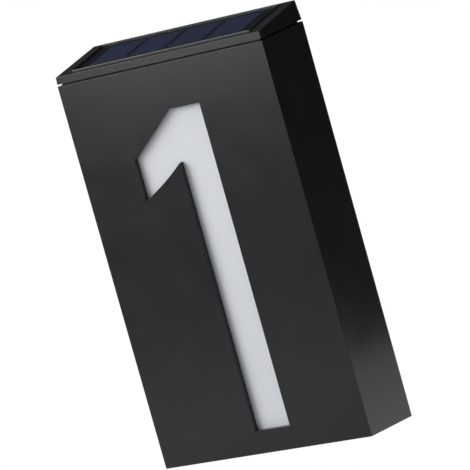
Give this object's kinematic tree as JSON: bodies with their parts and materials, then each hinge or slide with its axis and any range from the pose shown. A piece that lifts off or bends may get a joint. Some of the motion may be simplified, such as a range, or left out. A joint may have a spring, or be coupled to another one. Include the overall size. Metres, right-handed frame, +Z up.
{
  "type": "illuminated house number sign",
  "caption": "Flat solar-powered wall lamp box with a backlit digit cut through its face, a sloped solar lid, a hook-on wall bracket, a slide switch and a hinged battery door.",
  "frame": {"origin": "centre of the wall bracket's two screw holes, on its wall face", "axes": "+X to the right seen from the front, +Y towards the wall, +Z up"},
  "size_m": [0.1058, 0.0344, 0.1823],
  "materials": {
    "bracket_steel": "zinc-plated sheet, satin",
    "housing_plastic": "anthracite moulded ABS, fine satin texture",
    "opal_diffuser": "opal white acrylic, unlit",
    "reflector_white": "white moulded polystyrene",
    "led_board_white": "white solder mask",
    "led_package": "white LED package with yellow phosphor",
    "screw_steel": "stainless steel",
    "rear_plastic": "black moulded ABS, fine spark texture",
    "seal_rubber": "closed-cell black EPDM",
    "cell_sleeve": "plain shrink sleeve with bare steel ends",
    "contact_nickel": "nickel-plated spring steel",
    "circuit_board": "green solder mask",
    "chip_black": "moulded epoxy",
    "coil_copper": "enamelled copper winding",
    "capacitor_sleeve": "dark sleeve with bare aluminium top",
    "knob_plastic": "plain white nylon",
    "foam_tape": "double-sided acrylic foam tape",
    "panel_backing": "black laminate board",
    "solar_silicon": "dark blue silicon with fine grid lines",
    "ribbon_tin": "copper ribbon with a black coat",
    "panel_glass": "clear flat glass cover",
    "wire_insulation": "red and black PVC insulation"
  },
  "bodies": {
    "bracket": {"wall_bracket": "bracket_steel"},
    "lamp": {"front_shell": "housing_plastic", "number_diffuser": "opal_diffuser", "light_box": "reflector_white", "light_box_screws": "screw_steel", "led_board": "led_board_white", "leds": "led_package", "led_board_screws": "screw_steel", "back_plate": "rear_plastic", "back_seal": "seal_rubber", "housing_screws": "screw_steel", "battery_door_seal": "seal_rubber", "battery_cell": "cell_sleeve", "battery_contact_positive": "contact_nickel", "battery_contact_negative": "contact_nickel", "control_board": "circuit_board", "control_board_screws": "screw_steel", "driver_chip": "chip_black", "boost_coil": "coil_copper", "buffer_capacitor": "capacitor_sleeve", "panel_diode": "chip_black", "switch_housing": "contact_nickel", "solar_lid": "housing_plastic", "lid_seal": "seal_rubber", "lid_screws": "screw_steel", "panel_tape": "foam_tape", "solar_board": "panel_backing", "solar_cells": "solar_silicon", "cell_ribbons": "ribbon_tin", "solar_cover": "panel_glass", "lead_grommet": "seal_rubber", "panel_leads": "wire_insulation", "led_leads": "wire_insulation", "battery_leads": "wire_insulation"},
    "door": {"battery_door": "rear_plastic"},
    "switch": {"switch_knob": "knob_plastic"}
  },
  "joints": [
    {"name": "lamp_lift", "type": "slide", "parent": "bracket", "child": "lamp", "axis": [0, 0, 1], "range_m": [0, 0.008]},
    {"name": "battery_door_hinge", "type": "hinge", "parent": "lamp", "child": "door", "pos_m": [0.0358, -0.0056, -0.0697], "axis": [-1, 0, 0], "range_deg": [0, 95]},
    {"name": "switch_slide", "type": "slide", "parent": "lamp", "child": "switch", "axis": [0, 0, 1], "range_m": [0, 0.002]}
  ]
}
